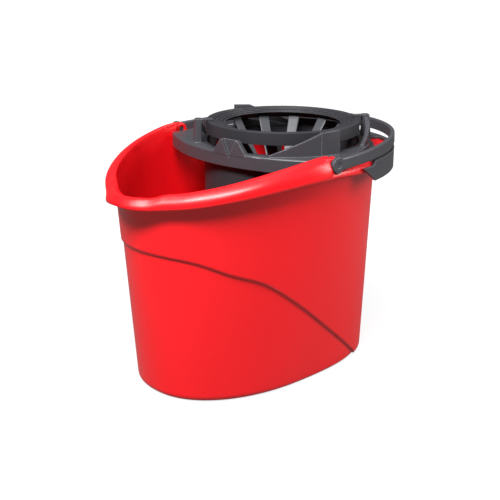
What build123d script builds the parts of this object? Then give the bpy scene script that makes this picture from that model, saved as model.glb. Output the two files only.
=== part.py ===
from build123d import *
import math
import os

# Mop bucket with a press wringer, in millimetres, +Z up, +X to the wringer end.
# The origin is on the floor at the middle of the overall length and width.

# Overall size
overall_length = 370.8
overall_width = 278.1
overall_height = 288.3
front_x = -overall_length / 2
rear_x = overall_length / 2
beyond = 400.0
cut_margin = 1.0

# Bucket wall: an oval that grows and softens from the base to the mouth
base_front = 145.5
base_rear = 143.1
base_half_width = 96.4
base_power_front = 2.2
base_power_rear = 2.86
front_draft = 0.0732
rear_draft = 0.0855
side_draft = 0.113
mouth_power_front = 1.92
mouth_power_rear = 1.85
mouth_height = 276.0
wall = 2.4
base_edge_radius = 8.0
foot_width = 11.0
foot_height = 3.0
floor_thickness = 3.0
outline_points = 36

# Proud upper skin of the wall, ending below in a sweeping crease
skin_proud = 2.2
crease_x = (-200, -160, -134, -102, -76, -44, -2, 24, 54, 88, 112)
crease_z = (174, 172, 167, 152, 142, 121, 87, 65, 40, 11, -12)

# Rim: a rolled lip with a deep skirt, drawn out to a pouring spout in front
spout_reach = 14.9
spout_half_angle = 20.0
spout_flow = 12.2
spout_mouth_angle = 16.5
spout_mouth_power = 1.4
spout_leg = 8.0
spout_lift = 3.0
rim_front = -front_x - spout_reach
rim_rear = 181.8
rim_half_width = 137.4
rim_power_front = 2.1
rim_power_rear = 2.13
rim_wall = 2.4
rim_grip = 0.3
rim_leg = 8.0
rim_lean = 1.2
rim_slant = 4.0
rim_bury = 0.6
rim_seat_drop = 4.0
rim_lip_rise = 1.2
rim_lip_drop = 0.8
rim_crest_out = 0.4
rim_shoulder_in = 3.0
rim_corner_in = 0.4
rim_corner_drop = 3.6
rim_under_corner_drop = 4.4
rim_under_shoulder_in = 3.6
rim_under_crest_out = 2.0
rim_under_crest_drop = 0.4
side_rim_lean = 0.9
side_rim_under_lean = 1.0
rim_ear_top = 271.0
rim_front_top = 236.4
rim_spout_drop = 2.5
spout_step_angle = 4.0
rim_rise_power = 1.45
skirt_ear_low = 247.0
skirt_front_low = 222.0
skirt_level_x = -15.0
skirt_fall_power = 1.7
skirt_rear_run = 60.0
skirt_rear_low = 245.0
side_rim_top = 253.4
rim_tuck = 1.6
side_tuck = 4.5
spout_tuck = 11.0

# Handle: a flat strap hinged at the ears, lying back on the rim
pivot_x = 1.5
pivot_z = 261.7
strap_height = 13.0
strap_thickness = 5.0
strap_rear = 184.8
strap_power = 2.17
strap_tilt = 2.3
strap_edge = 1.6
strap_points = 24
handle_disc_r = 8.5
handle_pin_r = 3.4
handle_pin_length = 7.0
dimple_height = 1.2
pin_clearance = 0.06
ear_gap = 0.5
ear_thickness = 7.0
ear_half_length = 13.0
pocket_r = 9.4
shoulder_x = -6.4
ear_round = 7.6
ear_chamfer = 6.0
stop_cover = 0.7
stop_overlap = 1.4
stop_rise = 0.4

# Wringer frame: deck, front beam, rear apron and the guides round the ring
ring_x = 53.4
deck_top = 262.0
deck_thickness = 3.0
deck_gap = 5.0
beam_front_r = 99.0
beam_turn = 9.5
beam_radius = 200.0
beam_bottom = 245.5
beam_thickness = 3.0
beam_reach = 60.0
beam_end_gap = 4.0
beam_flange = 60.0
beam_bend = 2.5
beam_chamfer = 0.9
deck_setback = 20.0
lip_thickness = 2.8
lip_seat = 0.2
apron_gap = 0.4
apron_bottom = 234.0
apron_top_front = 251.4
lip_front_x = 66.0
apron_front_top_x = 42.0
apron_front_bottom_x = 66.0
apron_step = 4.0
bump_base = 44.0
bump_top = 24.0
bump_height = 14.0
bump_depth = 5.5
bump_proud = 0.3
bump_round = 4.0
bump_block = 20.0
notch_width = 20.0
notch_depth = 20.0
notch_cut = 3.2
window_inner_r = 107.0
window_outer_r = 126.0
window_from = 22.0
window_to = 56.0
window_depth = 9.0
window_round = 5.0

# Helical ramps that turn the ring as it is pressed down
press_travel = 8.4
press_turn = 30.0
lug_angle = -100.0
lug_half_angle = 4.0
lug_height = 4.0
lug_outer_r = 97.6
lug_root = 2.0
ramp_inner_r = 95.0
ramp_wall_r = 98.2
ramp_wall = 4.0
ramp_gap = 0.3
track_run = 1.5
track_lap = 0.5
track_depth = 30.0
fin_from = -142.0
fin_to = -97.0
fin_low = 263.5
fin_depth = 40.0
fin_tip = 12.0
fin_tip_rise = 1.6
fin_tip_grow = 0.25
fin_tip_lap_angle = 0.6
fin_tip_lap = 0.1

# Hooked posts that hold the ring down, each with a helical brace
post_angle = -33.0
post_inner_r = 95.0
post_outer_r = 105.0
post_width = 18.0
post_top_width = 12.0
post_top_outer_r = 103.0
post_round = 2.5
hook_reach = 83.5
hook_gap = 0.3
brace_from = -68.0
brace_to = -38.0
brace_r = 98.0
brace_width = 4.0
brace_height = 6.0
brace_foot = 1.5
brace_top_drop = 2.0

# Drain cup hung in the deck
cup_r = 92.0
cup_wall = 2.2
cup_gap = 0.4
cup_flange_r = 94.5
cup_flange = 1.2
cup_seat = 0.1
cup_flange_gap = 0.3
cup_floor = 184.0
cup_floor_thickness = 3.0
cup_edge_radius = 6.0
bowl_edge_radius = 4.0
drain_slots = 12
drain_width = 7.0
drain_from = 32.0
drain_to = 80.0
cup_window_angles = (100, 68, 36)
cup_window_width = 34.0
cup_window_reach = 40.0
cup_window_round = 6.0
cup_window_low = 212.0
cup_window_high = 252.0

# Press ring with stepped funnel
ring_r = 89.2
ring_top = 286.0
ring_height = 14.0
ring_steps = 4
ring_step_width = 4.4
ring_step_drop = 3.2
ring_edge_round = 0.9

# Strips from the ring to the hub
strip_count = 12
strip_first_angle = 11.5
strip_top_r = 71.0
strip_top_width = 13.0
strip_bottom_width = 9.0
strip_thickness = 2.2
strip_gap = 0.3
strip_over = 6.0
strip_round = 0.7
hub_r = 29.0
hub_top = 213.0
hub_height = 8.0
strip_bottom_r = 22.0
strip_bottom_z = 207.0
strip_slant = 6.0
hub_bore_r = 6.0
hub_run = 0.05
hub_seat = 0.3
hub_round = 3.0
pin_head_r = 10.0
pin_head = 3.0
pin_round = 2.0
boss_r = 11.0


def polar(front, rear, half, power_front, power_rear, angle):
    """Distance from the oval's middle to its edge at an angle in degrees."""
    c = math.cos(math.radians(angle))
    s = math.sin(math.radians(angle))
    reach = rear if c > 0 else front
    power = power_rear if c > 0 else power_front
    return ((abs(c) / reach) ** power + (abs(s) / half) ** power) ** (-1 / power)


def wall_radius(z, angle, grow=0.0):
    """Distance from the axis to the wall's outer face."""
    k = z / mouth_height
    return polar(
        base_front + front_draft * z + grow,
        base_rear + rear_draft * z + grow,
        base_half_width + side_draft * z + grow,
        base_power_front + (mouth_power_front - base_power_front) * k,
        base_power_rear + (mouth_power_rear - base_power_rear) * k,
        angle,
    )


def rim_radius(angle, grow=0.0):
    """Distance from the axis to the outer face of the rim."""
    half = rim_half_width + grow
    return polar(rim_front + grow, rim_rear + grow, half, rim_power_front, rim_power_rear, angle)


def ring_of(radius_at, z):
    """Closed smooth face at height z from a polar radius."""
    points = []
    for i in range(outline_points):
        angle = 360 * i / outline_points
        r = radius_at(angle)
        points.append((r * math.cos(math.radians(angle)), r * math.sin(math.radians(angle)), z))
    return make_face(Spline(*points, periodic=True))


def wall_solid(low, high, grow):
    """Tapered oval block whose side is the wall's outer face, grown."""
    return loft([ring_of(lambda a: wall_radius(z, a, grow), z) for z in (low, high)])


def slab(radius_at, low, high):
    """Upright oval block."""
    return extrude(ring_of(radius_at, low), high - low)


def side_region(points):
    """Closed side outline in X and Z, run right across the width."""
    face = Plane.XZ * make_face(Polyline(*points, close=True))
    return extrude(face, overall_width, both=True)


def half_space(low_x):
    """Everything behind a plane across the length."""
    return Pos(low_x + beyond, 0, 0) * Box(2 * beyond, 2 * beyond, 2 * beyond)


# Bucket body
outer = wall_solid(0, mouth_height, 0)
outer = fillet(outer.edges().group_by(Axis.Z)[0], base_edge_radius)
proud = wall_solid(0, mouth_height, skin_proud)
proud = fillet(proud.edges().group_by(Axis.Z)[0], base_edge_radius)
crease = Spline(*[(x, z) for x, z in zip(crease_x, crease_z)])
over = Polyline(
    (crease_x[-1], crease_z[-1]),
    (beyond, crease_z[-1]),
    (beyond, beyond),
    (crease_x[0], beyond),
    (crease_x[0], crease_z[0]),
)
upper = extrude(Plane.XZ * make_face([crease, over]), overall_width, both=True)
body = outer + (proud & upper)
inside = wall_solid(foot_height + floor_thickness, mouth_height + cut_margin, -wall)
inside = fillet(inside.edges().group_by(Axis.Z)[0], base_edge_radius - wall)
inside_upper = wall_solid(foot_height + floor_thickness, mouth_height + cut_margin, skin_proud - wall)
inside += inside_upper & (Pos(0, 0, wall) * upper)
body -= inside
hollow = slab(lambda a: wall_radius(0, a, -foot_width), 0, foot_height)
body -= hollow


def ease(t):
    """Smooth step from 0 to 1."""
    t = min(max(t, 0.0), 1.0)
    return t * t * (3 - 2 * t)


def from_front(angle):
    """Angle in degrees away from the spout, either way round."""
    return 180 - abs((angle + 180) % 360 - 180)


def spout(angle):
    """How far the spout draws the rim's outer face out."""
    return spout_reach * ease((spout_half_angle - from_front(angle)) / spout_half_angle)


def mouth(angle):
    """Share of the spout's open channel at an angle."""
    return 1 - min(from_front(angle) / spout_mouth_angle, 1.0) ** spout_mouth_power


def rim_x(angle):
    """Place along the length of the rim's plain oval."""
    return rim_radius(angle) * math.cos(math.radians(angle))


def rim_top(angle):
    """Height of the rim's crest."""
    u = (shoulder_x - rim_x(angle)) / (shoulder_x + rim_front)
    z = rim_ear_top - (rim_ear_top - rim_front_top) * max(u, 0.0) ** rim_rise_power
    return z - rim_spout_drop * ease((spout_mouth_angle - from_front(angle)) / spout_step_angle)


def skirt_low(angle):
    """Height of the skirt's lower edge."""
    x = rim_x(angle)
    if x > 0:
        return skirt_ear_low + (skirt_rear_low - skirt_ear_low) * ease(x / skirt_rear_run)
    u = max(skirt_level_x - x, 0.0) / (skirt_level_x + rim_front)
    lift = spout_lift * (spout(angle) / spout_reach) ** 3
    return skirt_ear_low - (skirt_ear_low - skirt_front_low) * u ** skirt_fall_power + lift


def rim_section(angle, top):
    """Rolled lip and skirt as a face on the upright plane at an angle."""
    low = skirt_low(angle)
    w = wall_radius(top - rim_seat_drop, angle)
    o = rim_radius(angle) + spout(angle)
    a = math.radians(angle)
    flow = spout_flow * mouth(angle)
    leg = rim_leg + spout_leg * mouth(angle)
    skin = [
        (w - wall + rim_bury, top - leg),
        (w - wall + rim_bury + 0.25 * flow, top - 0.45 * leg),
        (w - wall + rim_lip_rise + 0.9 * flow, top - rim_lip_drop),
        (w + rim_crest_out + flow, top),
        (o - rim_lean - rim_shoulder_in, top - rim_slant),
        (o - rim_lean - rim_corner_in, top - rim_slant - rim_corner_drop),
        (o, low),
    ]
    under = [
        (o - rim_wall, low),
        (o - rim_lean - rim_corner_in - rim_wall, top - rim_slant - rim_under_corner_drop),
        (o - rim_lean - rim_under_shoulder_in, top - rim_slant - rim_wall),
        (w + rim_under_crest_out + flow, top - rim_wall - rim_under_crest_drop),
        (w + rim_grip + 0.25 * flow, top - 0.55 * leg),
        (w + rim_grip, top - leg),
    ]

    def place(points):
        return [(r * math.cos(a), r * math.sin(a), z) for r, z in points]

    first = Spline(*place(skin))
    second = Spline(*place(under))
    wire = Wire([first, Line(first @ 1, second @ 0), second, Line(second @ 1, first @ 0)])
    return Face(wire)


def side_rim_section(angle, top):
    """Lower flat-topped rim behind the ears."""
    low = skirt_low(angle)
    w = wall_radius(top - rim_seat_drop, angle)
    o = rim_radius(angle)
    a = math.radians(angle)
    points = [
        (w - wall - rim_grip, top - rim_leg),
        (w - wall - rim_grip, top),
        (o - side_rim_lean, top),
        (o, low),
        (o - rim_wall, low),
        (o - side_rim_under_lean - rim_wall, top - rim_wall),
        (w + rim_grip, top - rim_wall),
        (w + rim_grip, top - rim_leg),
    ]
    placed = [(r * math.cos(a), r * math.sin(a), z) for r, z in points]
    return Face(Wire(Polyline(*placed, close=True).edges()))


shoulder_angle = math.degrees(math.acos(shoulder_x / rim_half_width))
front_steps = (0, 4, 8, 12, 15, 17, 20, 27, 36, 48, 60, 72, 180 - shoulder_angle)
front_angles = [180 - s for s in reversed(front_steps)] + [180 + s for s in front_steps[1:]]
rear_steps = (0, 14, 28, 42, 56, 68, 80, shoulder_angle)
rear_angles = [-s for s in reversed(rear_steps)] + list(rear_steps[1:])
rim_front_part = loft([rim_section(a, rim_top(a)) for a in front_angles])
rim_rear_part = loft([side_rim_section(a, side_rim_top) for a in rear_angles])

# The wall is cut just under the rim's roll all the way round
trim_line = [(-beyond, rim_top(180) - rim_tuck - spout_tuck)]
for s in front_steps:
    a = 180 - s
    reach = wall_radius(rim_top(a), a) * math.cos(math.radians(a))
    trim_line.append((reach, rim_top(a) - rim_tuck - spout_tuck * mouth(a)))
trim_line[-1] = (shoulder_x, rim_ear_top - side_tuck)
trim_line.append((shoulder_x, side_rim_top - side_tuck))
trim_line.append((beyond, side_rim_top - side_tuck))
body -= side_region(trim_line + [(beyond, beyond), (-beyond, beyond)])
body += rim_front_part
body += rim_rear_part

# Ears: a lug inside each end of the handle, an end wall on the rim and a round pocket for the handle's disc
ear_outer = overall_width / 2 - strap_thickness - ear_gap
ear_inner = ear_outer - ear_thickness
pocket = Pos(pivot_x, 0, pivot_z) * Rot(90, 0, 0) * Cylinder(pocket_r, 2 * overall_width)
pocket -= Box(2 * beyond, 2 * ear_outer, 2 * beyond)
for side in (-1, 1):
    middle = side * (ear_outer + ear_inner) / 2
    ear_low = side_rim_top - rim_leg
    ear = Box(2 * ear_half_length, ear_thickness, pivot_z - ear_low)
    ear = Pos(pivot_x, middle, (pivot_z + ear_low) / 2) * ear
    ear = chamfer(ear.edges().filter_by(Axis.Y).group_by(Axis.Z)[-1], ear_chamfer)
    ear += Pos(pivot_x, middle, pivot_z) * Rot(90, 0, 0) * Cylinder(ear_round, ear_thickness)
    stop_low = side_rim_top - rim_wall
    stop_high = rim_ear_top - rim_wall + stop_rise
    stop_y = side * (ear_inner + ear_outer + stop_overlap) / 2
    stop = Pos(shoulder_x + (stop_cover - rim_wall) / 2, stop_y, (stop_low + stop_high) / 2)
    body += ear
    body += stop * Box(rim_wall + stop_cover, ear_thickness + stop_overlap, stop_high - stop_low)
body -= pocket
pin_way = Pos(pivot_x, 0, pivot_z) * Rot(90, 0, 0) * Cylinder(handle_pin_r + pin_clearance, 2 * overall_width)
body -= pin_way
bucket_shell = body

# Handle, built level and then laid back on the rim
half_strap = overall_width / 2


def strap_edge_line(inset):
    """Half oval round the back of the bucket, seen from above."""
    points = [(0, -half_strap + inset)]
    for i in range(1, strap_points):
        angle = -90 + 180 * i / strap_points
        reach = strap_rear - pivot_x - inset
        r = polar(reach, reach, half_strap - inset, strap_power, strap_power, angle)
        points.append((r * math.cos(math.radians(angle)), r * math.sin(math.radians(angle))))
    points.append((0, half_strap - inset))
    return Spline(*points, tangents=((1, 0), (-1, 0)))


far = strap_edge_line(0)
near = strap_edge_line(strap_thickness)
strap = make_face([far, Line(far @ 1, near @ 1), near, Line(near @ 0, far @ 0)])
strap = Pos(0, 0, -strap_height / 2) * extrude(strap, strap_height)
long_edges = [e for e in strap.edges() if e.length > 2 * strap_rear]
strap = fillet(long_edges, strap_edge)
for side in (-1, 1):
    disc = Rot(90, 0, 0) * Cylinder(handle_disc_r, strap_thickness)
    disc = fillet(disc.edges(), strap_edge / 2)
    strap += Pos(0, side * (half_strap - strap_thickness / 2), 0) * disc
for side in (-1, 1):
    pin_y = side * (half_strap - strap_thickness - handle_pin_length / 2)
    strap += Pos(0, pin_y, 0) * Rot(90, 0, 0) * Cylinder(handle_pin_r, handle_pin_length)
    dimple = Pos(0, side * half_strap, 0) * Rot(90, 0, 0) * Cylinder(handle_pin_r, dimple_height)
    strap -= dimple
bail_handle = Pos(pivot_x, 0, pivot_z) * Rot(0, -strap_tilt, 0) * strap

# Wringer frame


def deck_radius(angle, grow=0.0):
    """Edge of the deck, just inside the bucket's wall."""
    return wall_radius(deck_top, angle, skin_proud - wall - deck_gap + grow)


def apron_radius(angle, grow=0.0):
    """Outer face of the apron behind the bucket."""
    return rim_radius(angle, rear_x - rim_rear + grow)


apron_thickness = rear_x - rim_rear - apron_gap
deck_low = deck_top - deck_thickness
lip_low = side_rim_top + lip_seat
lip_high = lip_low + lip_thickness
profile = Polyline(
    (beam_radius - beam_flange, deck_top),
    (beam_radius, deck_top),
    (beam_radius, beam_bottom),
    (beam_radius - beam_thickness, beam_bottom),
    (beam_radius - beam_thickness, deck_low),
    (beam_radius - beam_flange, deck_low),
    close=True,
)
profile = make_face(profile)
corner = profile.vertices().sort_by(Axis.X)[-2:].sort_by(Axis.Y)[-1]
profile = fillet(corner, beam_bend)
profile = chamfer(profile.vertices().sort_by(Axis.Y)[:2], beam_chamfer)
beam_axis = Pos(ring_x, 0, 0) * Rot(0, 0, beam_turn) * Pos(beam_radius - beam_front_r, 0, 0)
beam = beam_axis * revolve(Plane.XZ * profile, Axis.Z)
beam_half = deck_radius(90) - beam_end_gap
deck = slab(deck_radius, deck_low, deck_top) & (beam_axis * Cylinder(beam_radius - deck_setback, 2 * beyond))
frame = (beam & Box(2 * beam_reach, 2 * beam_half, 2 * beyond)) + deck

# Rear lip over the rim, with the apron outside it
lip = slab(apron_radius, lip_low, lip_high) - slab(lambda a: deck_radius(a, -lip_thickness), lip_low, lip_high)
lip += slab(deck_radius, lip_low, deck_top) - slab(lambda a: deck_radius(a, -lip_thickness), lip_low, deck_top)
frame += lip & half_space(lip_front_x)
apron = slab(apron_radius, apron_bottom, lip_high)
apron -= slab(lambda a: apron_radius(a, -apron_thickness), apron_bottom, lip_high)
apron_side = [
    (apron_front_top_x, apron_top_front),
    (lip_front_x - apron_step, apron_top_front),
    (lip_front_x, lip_high),
    (beyond, lip_high),
    (beyond, apron_bottom),
    (apron_front_bottom_x, apron_bottom),
]
frame += apron & side_region(apron_side)

# Front bump with a pointed notch for a mop handle to lean in
bump = Polyline(
    (-bump_base / 2, deck_low),
    (-bump_base / 2, deck_top),
    (-bump_top / 2, deck_top + bump_height),
    (bump_top / 2, deck_top + bump_height),
    (bump_base / 2, deck_top),
    (bump_base / 2, deck_low),
    close=True,
)
bump = make_face(bump)
bump = fillet(bump.vertices().group_by(Axis.Y)[-1], bump_round)
bump = Pos(-beam_radius - cut_margin, 0, 0) * extrude(Plane.YZ * bump, bump_block)
bump_tube = Cylinder(beam_radius + bump_proud, 2 * beyond) - Cylinder(beam_radius - bump_depth, 2 * beyond)
notch = Polyline(
    (-notch_width / 2, deck_top + bump_height + cut_margin),
    (notch_width / 2, deck_top + bump_height + cut_margin),
    (0, deck_top + bump_height - notch_depth),
    close=True,
)
notch = Pos(-beam_radius - cut_margin, 0, 0) * extrude(Plane.YZ * make_face(notch), bump_block)
notch -= Cylinder(beam_radius - notch_cut, 2 * beyond)
frame += beam_axis * (bump & bump_tube)
frame -= beam_axis * notch

# Opening for the cup and two windows at the rear corners
frame -= Pos(ring_x, 0, 0) * Cylinder(cup_r + cup_gap, 2 * beyond)
flange_low = deck_top - cup_flange
recess = Cylinder(cup_flange_r + cup_flange_gap, 2 * (cup_flange + cup_seat))
frame -= Pos(ring_x, 0, deck_top) * recess


def sector(inner_r, outer_r, start, end, low, high):
    """Upright piece of a ring about the press ring's axis."""
    whole = Cylinder(outer_r, high - low) - Cylinder(inner_r, high - low)
    far_r = 3 * outer_r
    fan = [(0, 0)]
    for i in range(5):
        angle = math.radians(start + (end - start) * i / 4)
        fan.append((far_r * math.cos(angle), far_r * math.sin(angle)))
    wedge = extrude(make_face(Polyline(*fan, close=True)), high - low)
    return Pos(ring_x, 0, low) * ((Pos(0, 0, (high - low) / 2) * whole) & wedge)


for side in (-1, 1):
    start, end = sorted((side * window_from, side * window_to))
    window = sector(window_inner_r, window_outer_r, start, end, deck_low - window_depth, deck_top + cut_margin)
    window = fillet(window.edges().filter_by(Axis.Z), window_round)
    frame -= window


def ramp(inner_r, outer_r, start, end, low_top, high_top, depth):
    """Wall on a circle about the press ring's axis whose top rises as a helix."""
    middle = (inner_r + outer_r) / 2
    rise = high_top - low_top
    path = Helix(pitch=rise * 360 / (end - start), height=rise, radius=middle)
    at_start = Plane(origin=(middle, 0, 0), x_dir=(1, 0, 0), z_dir=(0, -1, 0))
    face = at_start * Pos(0, -depth / 2) * Rectangle(outer_r - inner_r, depth)
    swept = sweep(face, path=path, is_frenet=True)
    return Pos(ring_x, 0, low_top) * Rot(0, 0, start) * swept


ramp_slope = press_travel / press_turn
ring_low = ring_top - ring_height
seat_z = ring_low - ramp_gap
below = Pos(ring_x, 0, deck_low - beyond) * Box(2 * beyond, 2 * beyond, 2 * beyond)
for turn in (0, 180):
    spin = Pos(ring_x, 0, 0) * Rot(0, 0, turn) * Pos(-ring_x, 0, 0)
    tip_low = overall_height - fin_tip_rise
    fin = ramp(ramp_wall_r, ramp_wall_r + ramp_wall, fin_from, fin_to - fin_tip, fin_low, tip_low, fin_depth)
    tip_inner_r = ramp_wall_r - fin_tip_grow
    tip_outer_r = ramp_wall_r + ramp_wall + fin_tip_grow
    tip_from = fin_to - fin_tip - fin_tip_lap_angle
    tip = ramp(tip_inner_r, tip_outer_r, tip_from, fin_to, tip_low - fin_tip_lap, overall_height, fin_depth)
    track_to = lug_angle + lug_half_angle + track_run
    track_from = lug_angle - lug_half_angle - press_turn - track_run
    track_high = seat_z + ramp_slope * (track_to - lug_angle)
    track_low = seat_z + ramp_slope * (track_from - lug_angle)
    track_outer_r = ramp_wall_r + track_lap
    track = ramp(ramp_inner_r, track_outer_r, track_from, track_to, track_low, track_high, track_depth)
    frame += spin * (fin - below)
    frame += spin * (tip - below)
    frame += spin * (track - below)
    foot = Pos((post_inner_r + post_outer_r) / 2, 0, deck_low)
    foot *= Rectangle(post_outer_r - post_inner_r, post_width)
    crown = Pos((post_inner_r + post_top_outer_r) / 2, 0, overall_height)
    crown *= Rectangle(post_top_outer_r - post_inner_r, post_top_width)
    post = loft([foot, crown])
    post = fillet([e for e in post.edges() if abs(e.tangent_at(0.5).Z) > 0.7], post_round)
    hook_low = ring_top + hook_gap
    hook_root = (post_inner_r + post_top_outer_r) / 2
    hook = Pos((hook_reach + hook_root) / 2, 0, (hook_low + overall_height) / 2)
    hook *= Box(hook_root - hook_reach, post_top_width - 2 * post_round, overall_height - hook_low)
    frame += spin * (Pos(ring_x, 0, 0) * Rot(0, 0, post_angle) * (post + hook))
    brace = ramp(
        brace_r - brace_width / 2,
        brace_r + brace_width / 2,
        brace_from,
        brace_to,
        deck_top + brace_foot,
        overall_height - brace_top_drop,
        brace_height,
    )
    frame += spin * (brace - below)
wringer_frame = frame

# Drain cup
cup_top = deck_top
cup_inner = cup_r - cup_wall
cup = Cylinder(cup_r, cup_top - cup_floor, align=(Align.CENTER, Align.CENTER, Align.MIN))
cup = fillet(cup.edges().group_by(Axis.Z)[0], cup_edge_radius)
cup = Pos(0, 0, cup_floor) * cup
flange = Cylinder(cup_flange_r, cup_flange, align=(Align.CENTER, Align.CENTER, Align.MIN))
cup += Pos(0, 0, flange_low) * flange
bowl = Cylinder(cup_inner, beyond, align=(Align.CENTER, Align.CENTER, Align.MIN))
bowl = fillet(bowl.edges().group_by(Axis.Z)[0], bowl_edge_radius)
cup -= Pos(0, 0, cup_floor + cup_floor_thickness) * bowl
hub_low = hub_top - hub_height
boss_top = hub_low - hub_seat
boss_height = boss_top - cup_floor
cup += Pos(0, 0, cup_floor) * Cylinder(boss_r, boss_height, align=(Align.CENTER, Align.CENTER, Align.MIN))
pin_r = hub_bore_r - hub_run
cup -= Cylinder(pin_r, 2 * overall_height)
slot_length = drain_to - drain_from
slot = extrude(SlotOverall(slot_length, drain_width), cup_floor_thickness + 2 * cut_margin)
slot = Pos((drain_from + drain_to) / 2, 0, cup_floor - cut_margin) * slot
for i in range(drain_slots):
    cup -= Rot(0, 0, 360 * (i + 0.5) / drain_slots) * slot
for angle in cup_window_angles:
    for side in (-1, 1):
        opening = Box(cup_window_reach, cup_window_width, cup_window_high - cup_window_low)
        opening = fillet(opening.edges().filter_by(Axis.X), cup_window_round)
        cup -= Rot(0, 0, side * angle) * Pos(cup_r, 0, (cup_window_low + cup_window_high) / 2) * opening
drain_cup = Pos(ring_x, 0, 0) * cup

# Press ring: an outer band and a stepped funnel, with two lugs on the ramps
steps = [(ring_r, ring_low), (ring_r, ring_top)]
edge_r = ring_r - ring_step_width
edge_z = ring_top
for i in range(ring_steps):
    steps.append((edge_r, edge_z))
    edge_z -= ring_step_drop
    steps.append((edge_r, edge_z))
    edge_r -= ring_step_width
steps.append((edge_r, edge_z))
steps.append((edge_r, ring_low))
funnel = make_face(Polyline(*steps, close=True))
funnel = fillet(funnel.vertices().filter_by(lambda v: v.Y > ring_low + ring_edge_round), ring_edge_round)
ring = Pos(ring_x, 0, 0) * revolve(Plane.XZ * funnel, Axis.Z)
for turn in (0, 180):
    spin = Pos(ring_x, 0, 0) * Rot(0, 0, turn) * Pos(-ring_x, 0, 0)
    lug_from = lug_angle - lug_half_angle
    lug_to = lug_angle + lug_half_angle
    lug_low = ring_low + lug_height - ramp_slope * lug_half_angle
    lug_high = ring_low + lug_height + ramp_slope * lug_half_angle
    lug = ramp(ring_r - lug_root, lug_outer_r, lug_from, lug_to, lug_low, lug_high, lug_height)
    ring += spin * lug
press_ring = ring

# Strips: flat tapered bars leaning in from the ring to the hub
strip_top_z = ring_low - strip_gap
strips = []
for i in range(strip_count):
    base_angle = math.radians(strip_first_angle + 360 * i / strip_count)
    top_angle = base_angle - math.radians(strip_slant)
    foot = Vector(strip_bottom_r * math.cos(base_angle), strip_bottom_r * math.sin(base_angle), strip_bottom_z)
    head = Vector(strip_top_r * math.cos(top_angle), strip_top_r * math.sin(top_angle), strip_top_z)
    along = (head - foot).normalized()
    mean = (base_angle + top_angle) / 2
    across = Vector(-math.sin(mean), math.cos(mean), 0)
    normal = across.cross(along).normalized()
    side_dir = along.cross(normal).normalized()
    length = (head - foot).length
    plane = Plane(origin=foot, x_dir=side_dir, z_dir=normal)
    grow = (strip_top_width - strip_bottom_width) / length
    blade = Polyline(
        (-strip_bottom_width / 2, 0),
        (strip_bottom_width / 2, 0),
        (strip_top_width / 2 + grow * strip_over / 2, length + strip_over),
        (-strip_top_width / 2 - grow * strip_over / 2, length + strip_over),
        close=True,
    )
    bar = extrude(plane * make_face(blade), strip_thickness / 2, both=True)
    bar = fillet(bar.edges().sort_by(SortBy.LENGTH)[-4:], strip_round)
    bar &= Pos(0, 0, strip_top_z - beyond) * Box(2 * beyond, 2 * beyond, 2 * beyond)
    strips.append(Pos(ring_x, 0, 0) * bar)

# Hub that the strips stand in, and the pin it turns on
hub = Cylinder(hub_r, hub_height, align=(Align.CENTER, Align.CENTER, Align.MIN))
hub = fillet(hub.edges().group_by(Axis.Z)[-1], hub_round)
hub = Pos(ring_x, 0, hub_low) * hub
hub -= Pos(ring_x, 0, hub_low) * Cylinder(hub_bore_r, 4 * hub_height)
for bar in strips:
    hub -= bar
basket_hub = hub
head_low = hub_top + hub_seat
pin = Cylinder(pin_r, head_low - cup_floor, align=(Align.CENTER, Align.CENTER, Align.MIN))
pin_cap = Cylinder(pin_head_r, pin_head, align=(Align.CENTER, Align.CENTER, Align.MIN))
pin_cap = fillet(pin_cap.edges().group_by(Axis.Z)[-1], pin_round)
hub_pin = Pos(ring_x, 0, cup_floor) * pin + Pos(ring_x, 0, head_low) * pin_cap

parts = {
    "bucket_shell": bucket_shell,
    "bail_handle": bail_handle,
    "wringer_frame": wringer_frame,
    "drain_cup": drain_cup,
    "press_ring": press_ring,
    "basket_hub": basket_hub,
    "hub_pin": hub_pin,
}
for i, bar in enumerate(strips):
    parts["strip_%02d" % (i + 1)] = bar
os.makedirs("parts", exist_ok=True)
for name, shape in parts.items():
    export_step(shape, "parts/%s.step" % name)
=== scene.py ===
"""Mop bucket with a press wringer: finishes, shell, ring, strips, floor, light and camera."""
import math

import bpy
import numpy as np
from mathutils import Euler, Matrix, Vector


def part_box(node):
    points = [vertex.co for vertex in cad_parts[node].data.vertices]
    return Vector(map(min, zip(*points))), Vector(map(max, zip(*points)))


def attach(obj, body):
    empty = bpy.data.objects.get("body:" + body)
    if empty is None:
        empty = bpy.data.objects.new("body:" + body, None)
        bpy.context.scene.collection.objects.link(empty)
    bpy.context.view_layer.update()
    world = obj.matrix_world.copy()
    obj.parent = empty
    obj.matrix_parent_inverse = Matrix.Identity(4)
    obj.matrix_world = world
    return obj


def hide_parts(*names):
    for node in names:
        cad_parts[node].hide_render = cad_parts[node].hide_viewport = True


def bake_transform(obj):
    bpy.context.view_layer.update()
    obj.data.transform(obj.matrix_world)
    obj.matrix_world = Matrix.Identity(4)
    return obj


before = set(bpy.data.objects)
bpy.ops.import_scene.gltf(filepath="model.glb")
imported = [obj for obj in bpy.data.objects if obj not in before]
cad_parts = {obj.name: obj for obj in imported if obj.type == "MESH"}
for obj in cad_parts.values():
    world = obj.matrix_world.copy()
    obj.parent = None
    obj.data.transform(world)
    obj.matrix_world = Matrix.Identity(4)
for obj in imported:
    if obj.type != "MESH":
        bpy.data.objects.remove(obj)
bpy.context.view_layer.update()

bl_info = {
    "name": "Mop bucket dressing",
    "version": (1, 0, 0),
    "blender": (4, 5, 0),
    "location": "View3D > Sidebar > Bucket",
    "description": "Finishes for a mop bucket with a press wringer, its flexing strips and a studio",
    "category": "Object",
}

MM = 0.001
IMAGE_SIDE = 500
SENSOR_WIDTH = 36.0

POLYPROPYLENE_IOR = 1.49
# edges are painted paler, for rubbing and as a painted highlight, where the cosine between the rounded and
# true normal is below this
FLAT_TURN = 0.995
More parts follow.
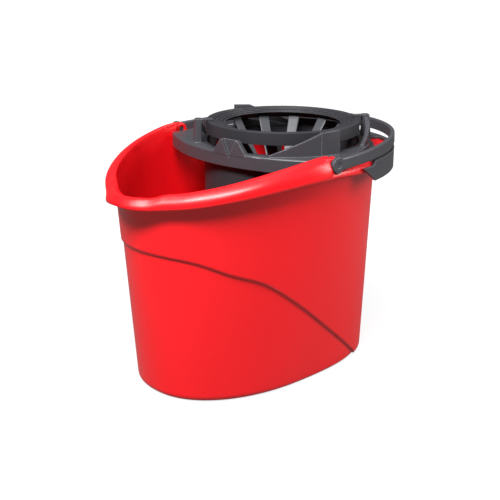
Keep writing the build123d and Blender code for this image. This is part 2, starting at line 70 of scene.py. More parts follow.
# points of a CAD node that lie this close are one point, and corners sharper than the angle stay sharp
MERGE_STEP = 0.002 * MM
SHARP_ANGLE = math.radians(28)


def linear(hex_text):
    """Linear RGBA from an sRGB hex value: each channel goes through the sRGB curve."""
    s = np.array([int(hex_text[i : i + 2], 16) for i in (1, 3, 5)]) / 255
    straight = np.where(s <= 0.04045, s / 12.92, ((s + 0.055) / 1.055) ** 2.4)
    return (*straight.tolist(), 1.0)


class BucketFinish(bpy.types.PropertyGroup):
    """Colours and surface of the red moulded bucket."""

    red: bpy.props.FloatVectorProperty(
        name="Red", description="Main colour of the bucket", subtype="COLOR", size=4, min=0, max=1,
        default=linear("#f6111b"))
    deep_red: bpy.props.FloatVectorProperty(
        name="Deep red", description="Darker colour of the slow mottling", subtype="COLOR", size=4,
        min=0, max=1, default=linear("#ec0d17"))
    # paler red painted on edges, partly for rubbing and partly as a painted highlight
    scuff_and_highlight: bpy.props.FloatVectorProperty(
        name="Scuff", description="Paler colour of rubbed edges", subtype="COLOR", size=4, min=0, max=1,
        default=linear("#f4565c"))
    roughness: bpy.props.FloatProperty(
        name="Roughness", description="Mean roughness of the semi-gloss wall", default=0.32, min=0, max=1)
    grain: bpy.props.FloatProperty(
        name="Grain", description="Spacing of the moulded grain in millimetres", default=1.4,
        min=0.2, max=10)


class WringerFinish(bpy.types.PropertyGroup):
    """Colours and surface of the dark moulded pieces."""

    ring_grey: bpy.props.FloatVectorProperty(
        name="Ring grey", description="Main colour of the ring, cup, hub and pin", subtype="COLOR", size=4,
        min=0, max=1, default=linear("#2f2f33"))
    frame_grey: bpy.props.FloatVectorProperty(
        name="Frame grey", description="Main colour of the wringer's frame", subtype="COLOR", size=4,
        min=0, max=1, default=linear("#3f3f44"))
    strap_grey: bpy.props.FloatVectorProperty(
        name="Strap grey", description="Main colour of the strap handle", subtype="COLOR", size=4,
        min=0, max=1, default=linear("#434247"))
    # paler grey painted on edges, partly for rubbing and partly as painted highlights
    rubbed_and_highlight: bpy.props.FloatVectorProperty(
        name="Rubbed", description="Paler colour of rubbed edges", subtype="COLOR", size=4, min=0, max=1,
        default=linear("#97989d"))
    strip_grey: bpy.props.FloatVectorProperty(
        name="Strip grey", description="Main colour of the strips", subtype="COLOR", size=4, min=0, max=1,
        default=linear("#47484c"))
    roughness: bpy.props.FloatProperty(
        name="Roughness", description="Mean roughness of the satin pieces", default=0.4, min=0, max=1)


class WallSizes(bpy.types.PropertyGroup):
    """Front half of the wall's inner face under the rim, in metres."""

    base_reach: bpy.props.FloatProperty(
        name="Base reach", description="From the axis to the front at the floor", unit="LENGTH",
        default=145.3 * MM)
    base_half_width: bpy.props.FloatProperty(
        name="Base half width", description="From the axis to the side at the floor", unit="LENGTH",
        default=96.2 * MM)
    front_draft: bpy.props.FloatProperty(
        name="Front draft", description="Growth of the reach with height", default=0.0732)
    side_draft: bpy.props.FloatProperty(
        name="Side draft", description="Growth of the half width with height", default=0.113)
    base_power: bpy.props.FloatProperty(
        name="Base power", description="Squareness of the oval at the floor", default=2.2)
    mouth_power: bpy.props.FloatProperty(
        name="Mouth power", description="Squareness of the oval at the mouth", default=1.92)
    mouth_height: bpy.props.FloatProperty(
        name="Mouth height", description="Height of the mouth above the ground", unit="LENGTH",
        default=276.0 * MM)
    lip_depth: bpy.props.FloatProperty(
        name="Lip depth", description="How far inwards the rim's lip may stand and still be smoothed",
        unit="LENGTH", default=3.5 * MM)


class RingSizes(bpy.types.PropertyGroup):
    """Sizes of the ring's funnel and of the low wall behind it, in metres."""

    funnel_radius: bpy.props.FloatProperty(
        name="Funnel radius", description="Radius of the first step's riser", unit="LENGTH",
        default=84.8 * MM)
    steps: bpy.props.IntProperty(name="Steps", description="Steps of the funnel", default=4)
    step_width: bpy.props.FloatProperty(
        name="Step width", description="Width of a step", unit="LENGTH", default=4.4 * MM)
    step_drop: bpy.props.FloatProperty(
        name="Step drop", description="Drop of a step in the solid", unit="LENGTH", default=3.2 * MM)
    flat_drop: bpy.props.FloatProperty(
        name="Flat drop", description="Drop of a step as shown", unit="LENGTH", default=1.25 * MM)
    tread_rise: bpy.props.FloatProperty(
        name="Tread rise", description="Rise of a tread towards its inner edge", unit="LENGTH",
        default=1.0 * MM)
    edge_thickness: bpy.props.FloatProperty(
        name="Edge thickness", description="Thickness of the funnel's inner edge", unit="LENGTH",
        default=1.2 * MM)
    collar_radius: bpy.props.FloatProperty(
        name="Collar radius", description="Middle radius of the low wall", unit="LENGTH", default=90.9 * MM)
    collar_thickness: bpy.props.FloatProperty(
        name="Collar thickness", description="Thickness of the low wall", unit="LENGTH", default=1.8 * MM)
    collar_height: bpy.props.FloatProperty(
        name="Collar height", description="Height of the low wall, from its foot inside the cup's rim",
        unit="LENGTH", default=10.0 * MM)
    collar_from: bpy.props.FloatProperty(
        name="Collar start", description="Where the low wall starts", subtype="ANGLE",
        default=math.radians(-14))
    collar_to: bpy.props.FloatProperty(
        name="Collar end", description="Where the low wall ends", subtype="ANGLE",
        default=math.radians(43))


class StripSizes(bpy.types.PropertyGroup):
    """Sizes of the strips between the ring and the hub, in metres."""

    top_width: bpy.props.FloatProperty(
        name="Top width", description="Width where a strip meets the ring", unit="LENGTH",
        default=13.0 * MM)
    foot_width: bpy.props.FloatProperty(
        name="Foot width", description="Width where a strip leaves the hub", unit="LENGTH",
        default=9.0 * MM)
    thickness: bpy.props.FloatProperty(
        name="Thickness", description="Thickness of a strip", unit="LENGTH", default=2.2 * MM)
    rib: bpy.props.FloatProperty(
        name="Rib", description="Height of the rounded rib along the outer face", unit="LENGTH",
        default=0.9 * MM)
    head_rise: bpy.props.FloatProperty(
        name="Head rise", description="How far a strip runs on into the funnel's underside", unit="LENGTH",
        default=5.8 * MM)


class StageSetup(bpy.types.PropertyGroup):
    """Camera place and light levels."""

    camera_distance: bpy.props.FloatProperty(
        name="Camera distance", description="From the bucket's axis, level", unit="LENGTH", default=1.0202)
    camera_height: bpy.props.FloatProperty(
        name="Camera height", description="Above the floor", unit="LENGTH", default=0.4761)
    camera_heading: bpy.props.FloatProperty(
        name="Camera heading", description="Turn from straight along the width", subtype="ANGLE",
        default=math.radians(41.65))
    camera_pitch: bpy.props.FloatProperty(
        name="Camera pitch", description="Tilt below level", subtype="ANGLE", default=math.radians(18.45))
    focal_pixels: bpy.props.FloatProperty(
        name="Focal length", description="Focal length in pixels of the square image", default=910.1)
    sideways_shift: bpy.props.FloatProperty(
        name="Sideways shift", description="Lens shift, as a share of the image's width", default=0.0025)
    key_power: bpy.props.FloatProperty(
        name="Key power", description="Power of the long lamp high above the camera, to its left",
        default=55.0, min=0)
    fill_power: bpy.props.FloatProperty(
        name="Fill power", description="Power of the tall lamp on the right", default=20.0, min=0)
    top_power: bpy.props.FloatProperty(
        name="Top power", description="Power of the wide lamp straight above", default=3.0, min=0)
    room_level: bpy.props.FloatProperty(
        name="Room level", description="Even light from the white room", default=0.12, min=0)
    gloss_share: bpy.props.FloatProperty(
        name="Gloss share", description="Share of the white background that shows in gloss", default=0.06,
        min=0, max=1)
    floor: bpy.props.FloatVectorProperty(
        name="Floor", description="Colour of the floor", subtype="COLOR", size=4, min=0, max=1,
        default=linear("#747474"))
    floor_lift: bpy.props.FloatProperty(
        name="Floor lift", description="Brightness added for the camera on the floor near the bucket",
        default=0.83, min=0)


def add_node(tree, kind, settings=None, links=None, **traits):
    """One shader node: traits are its properties, settings fill sockets, links join outputs to sockets."""
    made = tree.nodes.new(kind)
    for trait, value in traits.items():
        setattr(made, trait, value)
    for socket, value in (settings or {}).items():
        made.inputs[socket].default_value = value
    for socket, source in (links or {}).items():
        tree.links.new(source, made.inputs[socket])
    return made


def new_material(name):
    """An empty node material and its tree."""
    made = bpy.data.materials.new(name)
    made.use_nodes = True
    made.node_tree.nodes.clear()
    return made, made.node_tree


def rubbed_and_highlight_share(tree, place, rounded, sharp_turn, patch_size, patch_span, share_span):
    """Share of paler paint, for rubbing and a painted highlight: how far the rounded normal leaves the true
    one, times noise patches.
    """
    true = add_node(tree, "ShaderNodeNewGeometry").outputs["Normal"]
    turn = add_node(
        tree, "ShaderNodeVectorMath", None, {0: rounded, 1: true}, operation="DOT_PRODUCT").outputs["Value"]
    edge = add_node(
        tree, "ShaderNodeMapRange", {"From Min": FLAT_TURN, "From Max": sharp_turn}, {"Value": turn})
    patchy = add_node(
        tree, "ShaderNodeTexNoise", {"Scale": 1 / patch_size, "Detail": 3.0}, {"Vector": place})
    low, high = patch_span
    least, most = share_span
    patches = add_node(
        tree, "ShaderNodeMapRange", {"From Min": low, "From Max": high, "To Min": least, "To Max": most},
        {"Value": patchy.outputs["Fac"]})
    return add_node(
        tree, "ShaderNodeMath", None, {0: edge.outputs["Result"], 1: patches.outputs["Result"]},
        operation="MULTIPLY").outputs["Value"]


def red_polypropylene(finish):
    """Moulded polypropylene, semi-gloss: slow pigment mottling, fine grain, edges painted paler for rubbing
    and as a highlight.
    """
    mottle_size = 60 * MM
    upward_stretch = 0.45
    edge_radius = 1.2 * MM
    corner_radius = 5 * MM
    sheen_size = 25 * MM
    smoother, rougher = 0.05, 0.06
    rubbed_dullness = 0.25
    made, tree = new_material("moulded_red_polypropylene")
    place = add_node(tree, "ShaderNodeTexCoord").outputs["Object"]
    # the pigment's mottling is stretched upwards, as the melt flows up the wall
    flow = add_node(tree, "ShaderNodeMapping", {"Scale": (1.0, 1.0, upward_stretch)}, {"Vector": place})
    mottle = add_node(
        tree, "ShaderNodeTexNoise", {"Scale": 1 / mottle_size, "Detail": 4.0, "Roughness": 0.55},
        {"Vector": flow.outputs["Vector"]})
    body = add_node(
        tree, "ShaderNodeMix", {"A": finish.red, "B": finish.deep_red}, {"Factor": mottle.outputs["Fac"]},
        data_type="RGBA")
    # edges are painted paler in patches a few millimetres across, partly for rubbing and partly as a painted
    # highlight
    rounded = add_node(tree, "ShaderNodeBevel", {"Radius": edge_radius}, samples=4).outputs["Normal"]
    worn_and_highlit = rubbed_and_highlight_share(
        tree, place, rounded, sharp_turn=0.90, patch_size=5 * MM, patch_span=(0.42, 0.68),
        share_span=(0.0, 0.3))
    colour = add_node(
        tree, "ShaderNodeMix", {"B": finish.scuff_and_highlight}, {"Factor": worn_and_highlit, "A": body.outputs["Result"]},
        data_type="RGBA").outputs["Result"]
    # the gloss varies slowly, and rubbed edges are duller
    sheen = add_node(
        tree, "ShaderNodeTexNoise", {"Scale": 1 / sheen_size, "Detail": 5.0}, {"Vector": place})
    gloss = add_node(
        tree, "ShaderNodeMapRange",
        {"To Min": finish.roughness - smoother, "To Max": finish.roughness + rougher},
        {"Value": sheen.outputs["Fac"]})
    dull = add_node(
        tree, "ShaderNodeMath", {1: rubbed_dullness}, {0: worn_and_highlit, 2: gloss.outputs["Result"]},
        operation="MULTIPLY_ADD").outputs["Value"]
    # the real grain is about 0.3 mm; it is drawn coarser so that it shows
    grain = add_node(
        tree, "ShaderNodeTexNoise", {"Scale": 1 / (finish.grain * MM), "Detail": 2.0}, {"Vector": place})
    # the crease and the rim are moulded with soft corners
    softened = add_node(tree, "ShaderNodeBevel", {"Radius": corner_radius}, samples=8).outputs["Normal"]
    relief = add_node(
        tree, "ShaderNodeBump", {"Strength": 0.12, "Distance": 0.05 * MM},
        {"Height": grain.outputs["Fac"], "Normal": softened})
    skin = add_node(
        tree, "ShaderNodeBsdfPrincipled",
        {"IOR": POLYPROPYLENE_IOR, "Metallic": 0.0, "Specular IOR Level": 0.5},
        {"Base Color": colour, "Roughness": dull, "Normal": relief.outputs["Normal"]})
    add_node(tree, "ShaderNodeOutputMaterial", None, {"Surface": skin.outputs["BSDF"]})
    return made


def dark_polypropylene(finish, name, main, duller, grain, shine, wear_and_highlight):
    """Moulded polypropylene, satin: fine spark grain, faint mottling, edges painted paler for rubbing and as
    painted highlights.
    """
    mottle_size = 35 * MM
    deep_shade = 0.8
    edge_radius = 0.8 * MM
    # the share of edges painted paler: rubbing where small, painted edge highlights where large, as on the
    # frame
    least_wear_and_highlight = 0.4 * wear_and_highlight
    sheen_size = 18 * MM
    roughness = finish.roughness + duller
    smoother, rougher = 0.06, 0.07
    made, tree = new_material(name)
    place = add_node(tree, "ShaderNodeTexCoord").outputs["Object"]
    # the pigment mottles down to a slightly deeper shade
    mottle = add_node(
        tree, "ShaderNodeTexNoise", {"Scale": 1 / mottle_size, "Detail": 4.0}, {"Vector": place})
    deep = [deep_shade * part for part in main[:3]] + [1.0]
    body = add_node(
        tree, "ShaderNodeMix", {"A": main, "B": deep}, {"Factor": mottle.outputs["Fac"]}, data_type="RGBA")
    # edges are painted paler in patches a few millimetres across: partly rubbing, partly painted highlights,
    # most on the frame
    rounded = add_node(tree, "ShaderNodeBevel", {"Radius": edge_radius}, samples=4).outputs["Normal"]
    worn_and_highlit = rubbed_and_highlight_share(
        tree, place, rounded, sharp_turn=0.88, patch_size=4 * MM, patch_span=(0.40, 0.66),
        share_span=(least_wear_and_highlight, wear_and_highlight))
    colour = add_node(
        tree, "ShaderNodeMix", {"B": finish.rubbed_and_highlight}, {"Factor": worn_and_highlit, "A": body.outputs["Result"]},
        data_type="RGBA").outputs["Result"]
    # the gloss varies slowly
    sheen = add_node(
        tree, "ShaderNodeTexNoise", {"Scale": 1 / sheen_size, "Detail": 5.0}, {"Vector": place})
    gloss = add_node(
        tree, "ShaderNodeMapRange", {"To Min": roughness - smoother, "To Max": roughness + rougher},
        {"Value": sheen.outputs["Fac"]})
    # spark grain: the real one is about 0.2 mm; it is drawn coarser so that it shows
    spark = add_node(
        tree, "ShaderNodeTexNoise", {"Scale": 1 / (grain * MM), "Detail": 2.0}, {"Vector": place})
    relief = add_node(
        tree, "ShaderNodeBump", {"Strength": 0.2, "Distance": 0.06 * MM},
        {"Height": spark.outputs["Fac"], "Normal": rounded})
    skin = add_node(
        tree, "ShaderNodeBsdfPrincipled",
        {"IOR": POLYPROPYLENE_IOR, "Metallic": 0.0, "Specular IOR Level": shine},
        {"Base Color": colour, "Roughness": gloss.outputs["Result"], "Normal": relief.outputs["Normal"]})
    add_node(tree, "ShaderNodeOutputMaterial", None, {"Surface": skin.outputs["BSDF"]})
    return made


def paint(name, material):
    """Gives a CAD node its finish in every slot it has."""
    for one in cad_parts[name].material_slots:
        one.material = material


def finish_of(scene, which):
    """The shared material of a kind, made once."""
    ready = bpy.data.materials.get(which)
    if ready:
        return ready
    if which == "moulded_red_polypropylene":
        return red_polypropylene(scene.bucket_finish)
    dark = scene.wringer_finish
    # duller is added to the roughness, and the grain's spacing is in millimetres
    # the last trait is how much the edges are painted paler; the frame's large share is a painted edge
    # highlight
    main, traits = {
        "moulded_ring_polypropylene": (dark.ring_grey, dict(duller=0.08, grain=0.8, shine=0.2, wear_and_highlight=0.3)),
        "moulded_frame_polypropylene": (dark.frame_grey, dict(duller=-0.02, grain=0.8, shine=0.5, wear_and_highlight=0.8)),
        "moulded_strap_polypropylene": (dark.strap_grey, dict(duller=-0.04, grain=0.8, shine=0.4, wear_and_highlight=0.5)),
        "moulded_strip_polypropylene": (dark.strip_grey, dict(duller=-0.06, grain=0.9, shine=0.5, wear_and_highlight=0.5)),
    }[which]
    return dark_polypropylene(dark, which, main, **traits)


def node_points(name):
    """Places of a CAD node's points, one row each."""
    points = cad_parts[name].data.vertices
    at = np.empty(len(points) * 3)
    points.foreach_get("co", at)
    return at.reshape(-1, 3)


def merged(name):
    """Points and triangles of a CAD node, with points that share a place made one."""
    at = node_points(name)
    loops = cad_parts[name].data.loops
    corners = np.empty(len(loops), np.int32)
    loops.foreach_get("vertex_index", corners)
    places = np.round(at / MERGE_STEP).astype(np.int64)
    _, first, shared = np.unique(places, axis=0, return_index=True, return_inverse=True)
    faces = shared.reshape(-1)[corners].reshape(-1, 3)
    whole = (faces[:, 0] != faces[:, 1]) & (faces[:, 1] != faces[:, 2]) & (faces[:, 2] != faces[:, 0])
    return at[first], faces[whole]


def smooth_mesh(name, points, faces):
    """Smooth-shaded mesh from rows of points and lists of their numbers."""
    mesh = bpy.data.meshes.new(name)
    mesh.from_pydata(points.tolist(), [], faces)
    mesh.polygons.foreach_set("use_smooth", np.ones(len(mesh.polygons), bool))
    mesh.update()
    return mesh


def linked(context, name, mesh, material):
    """Object of a mesh with its finish, linked to the scene."""
    mesh.materials.append(material)
    made = bpy.data.objects.new(name, mesh)
    context.scene.collection.objects.link(made)
    return made


def sharp_object(context, name, points, faces, material):
    """Object of triangles, smooth-shaded up to its sharp corners."""
    mesh = smooth_mesh(name, points, faces.tolist())
    mesh.set_sharp_from_angle(angle=SHARP_ANGLE)
    return linked(context, name, mesh, material)


def basket_axis():
    """Middle of the hub's pin, on the floor: the ring, the cup and the strips stand round it."""
    low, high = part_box("hub_pin")
    middle = (low + high) / 2
    return np.array((middle.x, middle.y, 0))


def sweep_grid(along, around):
    """Share of the way along, as a column, and cosine and sine of the turn about the section, as rows."""
    u = np.linspace(0, 1, along)[:, None]
    v = np.linspace(0, 2 * math.pi, around, endpoint=False)[None, :]
    return u, np.cos(v), np.sin(v)


def squarish(wave, power):
    """A cosine or sine raised to a power, its sign kept: the smaller the power, the squarer the section."""
    return np.sign(wave) * np.abs(wave) ** power


def tube_mesh(name, rings):
    """Closed mesh from an array of rings (along, around, xyz): quads between rings and a fan at each end."""
    along, around, _ = rings.shape
    ends = rings[[0, -1]].mean(axis=1)
    points = np.concatenate([rings.reshape(-1, 3), ends])
    i, j = np.meshgrid(np.arange(along - 1), np.arange(around), indexing="ij")
    k = (j + 1) % around
    quads = np.stack([i * around + j, i * around + k, (i + 1) * around + k, (i + 1) * around + j], axis=-1)
    j = np.arange(around)
    k = (j + 1) % around
    first = along * around
    low = np.stack([np.full(around, first), k, j], axis=-1)
    top = (along - 1) * around
    high = np.stack([np.full(around, first + 1), top + j, top + k], axis=-1)
    return smooth_mesh(name, points, quads.reshape(-1, 4).tolist() + low.tolist() + high.tolist())


# the wall's inside runs from the floor's upper face to just past the mouth
INSIDE_FLOOR = 6 * MM
MOUTH_MARGIN = 1 * MM
# the lip is smoothed in front of the ears, near the rim, and then ends just inside the wall's face
LIP_FRONT = -8 * MM
LIP_LOWEST = 200 * MM
LIP_INSET = 0.12 * MM


class BUCKET_OT_shell(bpy.types.Operator):
    """Build the red bucket with its rim's lip smoothed into the wall"""

    bl_idname = "bucket.shell"
    bl_label = "Bucket shell"

    def execute(self, context):
        finish = finish_of(context.scene, "moulded_red_polypropylene")
        points, faces = merged("bucket_shell")
        points = self.smooth_lip(points, context.scene.wall_sizes)
        made = sharp_object(context, "smooth_bucket_shell", points, faces, finish)
        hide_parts("bucket_shell")
        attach(made, "bucket")
        return {"FINISHED"}

    def smooth_lip(self, points, sizes):
        """Points of the lip inside the front wall, pushed out along their radius to the wall's face."""
        x, y, z = points.T
        radius = np.hypot(x, y)
        face = self.inner_face(x / radius, y / radius, z, sizes)
        lip = (x < LIP_FRONT) & (z > LIP_LOWEST) & (radius > face - sizes.lip_depth) & (radius < face)
        moved = np.where(lip, np.maximum(radius, face - LIP_INSET), radius) / radius
        return np.stack([x * moved, y * moved, z], axis=-1)

    def inner_face(self, c, s, z, sizes):
        """Radius of the wall's inner face: straight lines join an oval at the floor to one at the mouth."""
        floor, mouth = INSIDE_FLOOR, sizes.mouth_height + MOUTH_MARGIN

        def oval(height):
            power = sizes.base_power + (sizes.mouth_power - sizes.base_power) * height / sizes.mouth_height
            reach = sizes.base_reach + sizes.front_draft * height
            half = sizes.base_half_width + sizes.side_draft * height
            return ((np.abs(c) / reach) ** power + (np.abs(s) / half) ** power) ** (-1 / power)

        return oval(floor) + (oval(mouth) - oval(floor)) * (z - floor) / (mouth - floor)


class BUCKET_OT_handle(bpy.types.Operator):
    """Finish the strap handle"""

    bl_idname = "bucket.handle"
    bl_label = "Strap handle"

    def execute(self, context):
        paint("bail_handle", finish_of(context.scene, "moulded_strap_polypropylene"))
        return {"FINISHED"}


# points this close to the ring's lowest are its underside, and its crest reaches this far out of the funnel
UNDERSIDE_BAND = 0.2 * MM
CREST_REACH = 0.4 * MM
# the low wall's sections and their corners, and how deep its foot stands in the cup's rim
COLLAR_SECTIONS = 61
COLLAR_CORNERS = 32
COLLAR_SINK = 1 * MM
# the share of the low wall's length in which an end rises, and the share of the height that it rises from
COLLAR_RAMP = 1 / 8
COLLAR_END = 0.25
# the powers that square its section, across and upwards
COLLAR_SIDE_POWER = 0.4
COLLAR_TOP_POWER = 0.25


class BUCKET_OT_wringer(bpy.types.Operator):
    """Finish the wringer's frame, cup, hub and pin, and build its ring and the cup's low wall"""

    bl_idname = "bucket.wringer"
    bl_label = "Wringer"

    def execute(self, context):
        paint("wringer_frame", finish_of(context.scene, "moulded_frame_polypropylene"))
        dark = finish_of(context.scene, "moulded_ring_polypropylene")
        for name in ("drain_cup", "basket_hub", "hub_pin"):
            paint(name, dark)
        self.ring(context, dark)
        self.collar(context, dark)
        return {"FINISHED"}

    def ring(self, context, dark):
        """Ring with a flatter funnel: inside the band, each step sinks less and its tread rises inwards."""
        sizes = context.scene.ring_sizes
        points, faces = merged("press_ring")
        low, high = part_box("press_ring")
        x, y, z = points.T
        axis = basket_axis()
        inwards = sizes.funnel_radius - np.hypot(x - axis[0], y - axis[1])
        level = (high.z - z) / sizes.step_drop
        step = np.round(level)
        across = np.clip(inwards / sizes.step_width - (step - 1), 0, 1)
        flat = high.z - level * sizes.flat_drop + np.where(step > 0, across * sizes.tread_rise, 0)
        # the underside runs up in a cone to the thin inner edge
        under = z < low.z + UNDERSIDE_BAND
        edge = high.z - sizes.steps * sizes.flat_drop + sizes.tread_rise - sizes.edge_thickness
        flat = np.where(under, edge, flat)
        points = np.stack([x, y, np.where(inwards > -CREST_REACH, flat, z)], axis=-1)
        made = sharp_object(context, "flatter_press_ring", points, faces, dark)
        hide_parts("press_ring")
        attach(made, "ring")

    def collar(self, context, dark):
        """Low wall on the cup's rear rim, closing the view under the ring: a rounded section on an arc."""
        sizes = context.scene.ring_sizes
        _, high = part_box("drain_cup")
        u, c, s = sweep_grid(COLLAR_SECTIONS, COLLAR_CORNERS)
        turn = sizes.collar_from + (sizes.collar_to - sizes.collar_from) * u
        # both ends rise in a soft curve
        end = np.clip(np.minimum(u, 1 - u) / COLLAR_RAMP, 0, 1)
        rise = sizes.collar_height * (COLLAR_END + (1 - COLLAR_END) * end * end * (3 - 2 * end))
        radius = sizes.collar_radius + sizes.collar_thickness / 2 * squarish(c, COLLAR_SIDE_POWER)
        up = high.z - COLLAR_SINK + rise * (1 + squarish(s, COLLAR_TOP_POWER)) / 2
        rings = np.stack([radius * np.cos(turn), radius * np.sin(turn), up], axis=-1) + basket_axis()
        made = linked(context, "cup_collar", tube_mesh("cup_collar", rings), dark)
        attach(made, "bucket")


# a strip's sections and their corners, and the power that squares them
STRIP_SECTIONS = 22
STRIP_CORNERS = 40
STRIP_POWER = 0.35
# heights at a solid strip's ends whose points give the middle of its foot and of its head
FOOT_BAND = 3 * MM
HEAD_BAND = 1 * MM
# the rib's share of a strip's width, and the share of its length in which it runs out at the top
RIB_SHARE = 0.35
RIB_END = 1 / 6


class BUCKET_OT_strips(bpy.types.Operator):
    """Build the twelve strips between the hub and the ring, which flex on the real wringer"""

    bl_idname = "bucket.strips"
    bl_label = "Strips"

    def execute(self, context):
        sizes = context.scene.strip_sizes
        finish = finish_of(context.scene, "moulded_strip_polypropylene")
        names = sorted(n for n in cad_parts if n.startswith("strip_"))
        if not names:
            raise RuntimeError("the frame has no strips")
        for name in names:
            made = linked(context, "flexing_" + name, self.strip(name, sizes), finish)
            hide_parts(name)
            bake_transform(made)
        return {"FINISHED"}

    def strip(self, name, sizes):
        """Profile carried along a line: a flat rounded bar that widens upwards, with a rib outside."""
        at = node_points(name)
        height = at[:, 2]
        foot = at[height < height.min() + FOOT_BAND].mean(axis=0)
        head = at[height > height.max() - HEAD_BAND].mean(axis=0)
        out = (foot + head) / 2 - basket_axis()
        out[2] = 0
        along = (head - foot) / np.linalg.norm(head - foot)
        across = np.cross(along, out / np.linalg.norm(out))
        across /= np.linalg.norm(across)
        normal = np.cross(across, along)
        u, c, s = sweep_grid(STRIP_SECTIONS, STRIP_CORNERS)
        half = (sizes.foot_width + (sizes.top_width - sizes.foot_width) * u) / 2
        side = half * squarish(c, STRIP_POWER)
        face = sizes.thickness / 2 * squarish(s, STRIP_POWER)
        # the rib is an arch on the outer face
        arch = np.clip(1 - (side / (half * RIB_SHARE)) ** 2, 0, 1) * (s > 0)
        rib = sizes.rib * arch * np.clip((1 - u) / RIB_END, 0, 1)
        # the line through foot and head runs on to the funnel's underside, where the strip is cut level
        top = height.max() + sizes.head_rise
        line = foot + along * (top - foot[2]) / along[2] * u
        rings = line[:, None, :] + side[..., None] * across + (face + rib)[..., None] * normal
        rings[-1, :, 2] = top
        return tube_mesh(name + "_flexing", rings)


# the floor's half width, its squares along a side and its gap under the bucket's foot
FLOOR_HALF = 4.0
FLOOR_SQUARES = 40
FLOOR_GAP = 0.2 * MM
# how far out the floor bends up, and how fast
BEND_START = 2.6
BEND_RISE = 0.25
# distances from the bucket's axis between which the floor's lift grows to full white
LIFT_START = 0.2
LIFT_END = 0.55
# the height that the lamps point at
AIM_HEIGHT = 0.15
# for each lamp the setting of its power, its place from that point to the right, away from the camera
# and up, and its width and height
LAMPS = {
    "key_softbox": ("key_power", (-0.42, -0.87, 1.26), (1.3, 0.34)),
    "side_softbox": ("fill_power", (1.5, -0.1, 0.7), (0.4, 1.2)),
    "top_softbox": ("top_power", (0.0, 0.15, 1.5), (1.3, 1.0)),
}


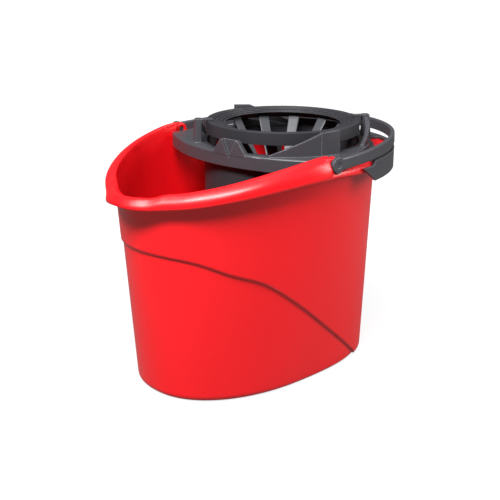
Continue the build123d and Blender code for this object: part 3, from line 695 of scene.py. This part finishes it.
class BUCKET_OT_stage(bpy.types.Operator):
    """Set the floor, the lamps, the white room and the camera"""

    bl_idname = "bucket.stage"
    bl_label = "Stage"

    def execute(self, context):
        setup = context.scene.stage_setup
        context.scene.view_settings.view_transform = "Standard"
        self.floor(context, setup)
        self.room(context, setup)
        self.lamps(context, setup)
        self.camera(context, setup)
        return {"FINISHED"}

    def background_share(self, tree, setup):
        """How much white background a ray sees: all from the camera or through glass, less in gloss."""
        seen = add_node(tree, "ShaderNodeLightPath").outputs
        straight = add_node(
            tree, "ShaderNodeMath", None, {0: seen["Is Camera Ray"], 1: seen["Is Transmission Ray"]},
            operation="MAXIMUM").outputs["Value"]
        gloss = add_node(
            tree, "ShaderNodeMath", {1: setup.gloss_share}, {0: seen["Is Glossy Ray"]}, operation="MULTIPLY")
        return add_node(
            tree, "ShaderNodeMath", None, {0: straight, 1: gloss.outputs["Value"]},
            operation="MAXIMUM").outputs["Value"]

    def floor(self, context, setup):
        """Wide sheet that curls up far out: height grows with the square of the distance past the bend."""
        side = np.linspace(-FLOOR_HALF, FLOOR_HALF, FLOOR_SQUARES + 1)
        x, y = np.meshgrid(side, side, indexing="ij")
        far = np.clip(np.hypot(x, y) - BEND_START, 0, None)
        points = np.stack([x, y, BEND_RISE * far**2 - FLOOR_GAP], axis=-1).reshape(-1, 3)
        i, j = np.meshgrid(np.arange(FLOOR_SQUARES), np.arange(FLOOR_SQUARES), indexing="ij")
        near = i * len(side) + j
        next_row = near + len(side)
        quads = np.stack([near, next_row, next_row + 1, near + 1], axis=-1).reshape(-1, 4)
        mesh = smooth_mesh("studio_floor", points, quads.tolist())
        made = linked(context, "studio_floor", mesh, self.paper(setup))

    def paper(self, setup):
        """Matt sheet that throws little light back on the bucket, and is lifted to white for the camera."""
        made, tree = new_material("matt_white_paper")
        # the lift is less near the bucket, so that the shadow at its foot shows
        place = add_node(tree, "ShaderNodeTexCoord").outputs["Object"]
        away = add_node(tree, "ShaderNodeVectorMath", None, {0: place}, operation="LENGTH").outputs["Value"]
        grown = add_node(
            tree, "ShaderNodeMapRange",
            {"From Min": LIFT_START, "From Max": LIFT_END, "To Min": setup.floor_lift, "To Max": 1.0},
            {"Value": away}).outputs["Result"]
        strength = add_node(
            tree, "ShaderNodeMath", None, {0: grown, 1: self.background_share(tree, setup)},
            operation="MULTIPLY")
        lift = add_node(tree, "ShaderNodeEmission", None, {"Strength": strength.outputs["Value"]})
        matt = add_node(tree, "ShaderNodeBsdfDiffuse", {"Color": setup.floor})
        both = add_node(
            tree, "ShaderNodeAddShader", None, {0: matt.outputs["BSDF"], 1: lift.outputs["Emission"]})
        add_node(tree, "ShaderNodeOutputMaterial", None, {"Surface": both.outputs["Shader"]})
        return made

    def room(self, context, setup):
        """Even white room: white to the camera, and the room level to what it lights."""
        world = bpy.data.worlds.new("white_room")
        world.use_nodes = True
        tree = world.node_tree
        tree.nodes.clear()
        level = add_node(
            tree, "ShaderNodeMapRange", {"To Min": setup.room_level},
            {"Value": self.background_share(tree, setup)})
        white = add_node(
            tree, "ShaderNodeBackground", {"Color": (1, 1, 1, 1)}, {"Strength": level.outputs["Result"]})
        add_node(tree, "ShaderNodeOutputWorld", None, {"Surface": white.outputs["Background"]})
        context.scene.world = world

    def lamps(self, context, setup):
        """A long lamp high above the camera to its left, a tall one on the right and a wide one overhead."""
        aim = Vector((0, 0, AIM_HEIGHT))
        heading = setup.camera_heading
        right = Vector((math.cos(heading), -math.sin(heading), 0))
        away = Vector((math.sin(heading), math.cos(heading), 0))
        for name, (power, (rightwards, onwards, up), size) in LAMPS.items():
            place = aim + right * rightwards + away * onwards + Vector((0, 0, up))
            lamp = bpy.data.lights.new(name, "AREA")
            lamp.shape = "RECTANGLE"
            lamp.size, lamp.size_y = size
            lamp.energy = getattr(setup, power)
            made = bpy.data.objects.new(name, lamp)
            made.location = place
            made.rotation_euler = (aim - place).to_track_quat("-Z", "Y").to_euler()
            context.scene.collection.objects.link(made)

    def camera(self, context, setup):
        """Camera on a circle about the bucket's axis, pitched down."""
        lens = bpy.data.cameras.new("photo_camera")
        lens.sensor_width = SENSOR_WIDTH
        lens.lens = setup.focal_pixels / IMAGE_SIDE * lens.sensor_width
        lens.shift_x = setup.sideways_shift
        made = bpy.data.objects.new("photo_camera", lens)
        d, h = setup.camera_distance, setup.camera_heading
        made.location = (-math.sin(h) * d, -math.cos(h) * d, setup.camera_height)
        made.rotation_euler = Euler((math.pi / 2 - setup.camera_pitch, 0, -h))
        context.scene.collection.objects.link(made)
        context.scene.camera = made


class BUCKET_PT_panel(bpy.types.Panel):
    """Pieces of the bucket"""

    bl_idname = "BUCKET_PT_panel"
    bl_label = "Mop bucket"
    bl_space_type = "VIEW_3D"
    bl_region_type = "UI"
    bl_category = "Bucket"

    def draw(self, context):
        for one in OPERATORS:
            self.layout.operator(one.bl_idname)
        for group in GROUPS:
            values = getattr(context.scene, group)
            for key in values.bl_rna.properties.keys():
                if key not in ("rna_type", "name"):
                    self.layout.prop(values, key)


OPERATORS = (BUCKET_OT_shell, BUCKET_OT_handle, BUCKET_OT_wringer, BUCKET_OT_strips, BUCKET_OT_stage)
GROUPS = {
    "bucket_finish": BucketFinish,
    "wringer_finish": WringerFinish,
    "wall_sizes": WallSizes,
    "ring_sizes": RingSizes,
    "strip_sizes": StripSizes,
    "stage_setup": StageSetup,
}


def register():
    """Adds the classes and hangs each group of settings on the scene."""
    for one in (*GROUPS.values(), *OPERATORS, BUCKET_PT_panel):
        bpy.utils.register_class(one)
    for name, group in GROUPS.items():
        setattr(bpy.types.Scene, name, bpy.props.PointerProperty(type=group))


def unregister():
    """Takes away what register added."""
    for name in GROUPS:
        delattr(bpy.types.Scene, name)
    for one in (BUCKET_PT_panel, *reversed(OPERATORS), *reversed(GROUPS.values())):
        bpy.utils.unregister_class(one)


def main():
    """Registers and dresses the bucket."""
    register()
    bpy.ops.bucket.stage()
    bpy.ops.bucket.shell()
    bpy.ops.bucket.handle()
    bpy.ops.bucket.wringer()
    bpy.ops.bucket.strips()
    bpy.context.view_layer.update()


if __name__ == "__main__":
    main()
